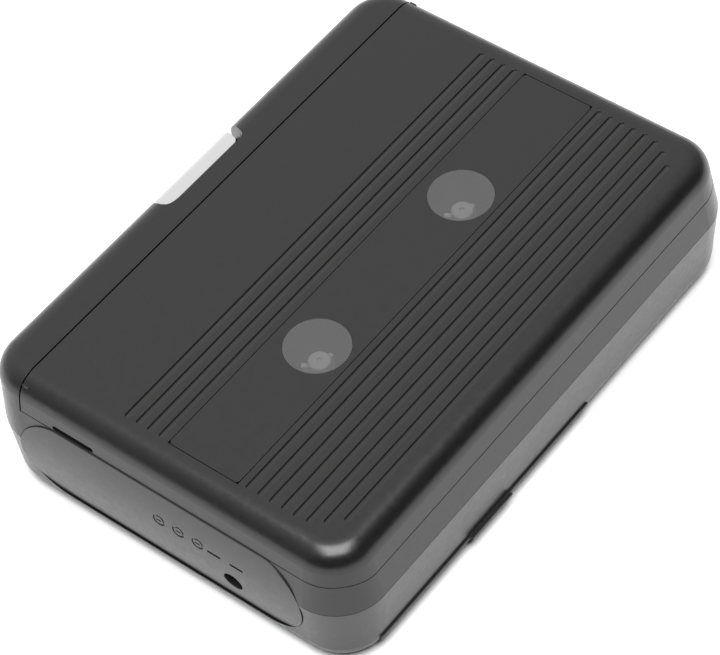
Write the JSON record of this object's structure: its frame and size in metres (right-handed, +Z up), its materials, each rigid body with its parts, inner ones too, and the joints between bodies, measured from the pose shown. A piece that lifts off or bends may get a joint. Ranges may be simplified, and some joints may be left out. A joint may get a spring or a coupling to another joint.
{
  "type": "portable compact-cassette player",
  "caption": "Pocket tape player: flat rounded box with a hinged ribbed cassette lid, round windows, side release slide, oval end panel and underside battery door.",
  "frame": {"origin": "centre of the overall box at the level it lies on", "axes": "+X along the long side away from the oval end panel, +Y towards the side with the release slide and keys, +Z up out of the cassette lid"},
  "size_m": [0.1192, 0.0836, 0.0295],
  "materials": {
    "case_plastic": "satin black moulding with a fine texture",
    "key_silver": "silver painted plastic",
    "key_black": "black plastic keys",
    "door_black": "plain black plastic",
    "window_smoke": "smoky clear plastic",
    "spindle_grey": "light grey nylon",
    "inner_black": "unfinished black plastic",
    "steel_plate": "zinc plated sheet",
    "steel_shaft": "ground steel",
    "bronze": "sintered bronze",
    "rubber_black": "black rubber",
    "board_green": "printed circuit laminate",
    "chip_black": "moulded epoxy",
    "cap_sleeve": "dark blue sleeve",
    "head_metal": "polished head case",
    "guide_white": "off-white acetal"
  },
  "bodies": {
    "case": {"back_case": "case_plastic", "middle_case": "case_plastic", "end_panel": "case_plastic", "chassis": "steel_plate", "spindle_bushes": "bronze", "capstan_bearing": "bronze", "motor_body": "steel_plate", "drive_belt": "rubber_black", "idler_axle": "steel_shaft", "circuit_board": "board_green", "amplifier_chip": "chip_black", "capacitors": "cap_sleeve", "dc_jack": "inner_black", "headphone_jack": "inner_black", "volume_pot": "inner_black", "battery_springs": "steel_shaft", "spring_plates": "steel_plate", "battery_contacts": "steel_plate", "hinge_pins": "steel_shaft", "key_springs": "steel_shaft", "slide_spring": "steel_shaft", "case_screws": "steel_plate", "chassis_screws": "steel_plate"},
    "lid": {"lid_shell": "case_plastic", "label_plate": "case_plastic", "lid_windows": "window_smoke", "cassette_holder": "inner_black", "cassette_springs": "steel_plate"},
    "release": {"release_slide": "key_silver"},
    "door": {"battery_door": "door_black"},
    "supply_reel": {"supply_spindle": "spindle_grey"},
    "takeup_reel": {"takeup_spindle": "spindle_grey"},
    "capstan": {"capstan_shaft": "steel_shaft", "flywheel": "bronze"},
    "pulley": {"motor_pulley": "bronze"},
    "idler": {"idler_wheel": "rubber_black"},
    "head_carriage": {"head_plate": "steel_plate", "tape_head": "head_metal", "tape_guides": "guide_white", "pinch_cap": "guide_white"},
    "pinch": {"pinch_roller": "rubber_black"},
    "rewind": {"rewind_key": "key_black"},
    "forward": {"forward_key": "key_black"},
    "stop": {"stop_key": "key_black"},
    "play": {"play_key": "key_black"},
    "volume": {"volume_wheel": "key_black"}
  },
  "joints": [
    {"name": "lid_hinge", "type": "hinge", "parent": "case", "child": "lid", "pos_m": [0, -0.0376, 0.015], "axis": [1, 0, 0], "range_deg": [0, 75]},
    {"name": "release_travel", "type": "slide", "parent": "case", "child": "release", "axis": [1, 0, 0], "range_m": [0, 0.0013], "stiffness_N_per_m": 300, "springref_m": -0.001},
    {"name": "door_travel", "type": "slide", "parent": "case", "child": "door", "axis": [0, -1, 0], "range_m": [0, 0.03]},
    {"name": "supply_spin", "type": "hinge", "parent": "case", "child": "supply_reel", "pos_m": [-0.02125, -0.0064, 0.015], "axis": [0, 0, 1], "continuous": true},
    {"name": "capstan_spin", "type": "hinge", "parent": "case", "child": "capstan", "pos_m": [0.0276, 0.0223, 0.003], "axis": [0, 0, 1], "continuous": true},
    {"name": "takeup_spin", "type": "hinge", "parent": "case", "child": "takeup_reel", "pos_m": [0.02125, -0.0064, 0.015], "axis": [0, 0, 1], "continuous": true},
    {"name": "pulley_spin", "type": "hinge", "parent": "case", "child": "pulley", "pos_m": [-0.002, 0.024, 0.003], "axis": [0, 0, 1], "continuous": true},
    {"name": "idler_spin", "type": "hinge", "parent": "case", "child": "idler", "pos_m": [0.02497, 0.0104, 0.01], "axis": [0, 0, 1], "continuous": true},
    {"name": "carriage_travel", "type": "slide", "parent": "case", "child": "head_carriage", "axis": [0, -1, 0], "range_m": [0, 0.002], "stiffness_N_per_m": 200, "springref_m": -0.001},
    {"name": "pinch_spin", "type": "hinge", "parent": "head_carriage", "child": "pinch", "pos_m": [0.0276, 0.0286, 0.019], "axis": [0, 0, 1], "continuous": true},
    {"name": "rewind_press", "type": "slide", "parent": "case", "child": "rewind", "axis": [0, -1, 0], "range_m": [0, 0.002], "stiffness_N_per_m": 400, "springref_m": -0.0005},
    {"name": "forward_press", "type": "slide", "parent": "case", "child": "forward", "axis": [0, -1, 0], "range_m": [0, 0.002], "stiffness_N_per_m": 400, "springref_m": -0.0005},
    {"name": "stop_press", "type": "slide", "parent": "case", "child": "stop", "axis": [0, -1, 0], "range_m": [0, 0.002], "stiffness_N_per_m": 400, "springref_m": -0.0005},
    {"name": "play_press", "type": "slide", "parent": "case", "child": "play", "axis": [0, -1, 0], "range_m": [0, 0.002]},
    {"name": "volume_turn", "type": "hinge", "parent": "case", "child": "volume", "pos_m": [0.038, 0.0347, 0.011], "axis": [0, 0, 1], "range_deg": [0, 270]}
  ],
  "couplings": [
    {"joint": "pulley_spin", "follows": "capstan_spin", "ratio": 5.4444},
    {"joint": "idler_spin", "follows": "capstan_spin", "ratio": -0.33708},
    {"joint": "takeup_spin", "follows": "capstan_spin", "ratio": 0.375},
    {"joint": "play_press", "follows": "carriage_travel", "ratio": 1}
  ]
}
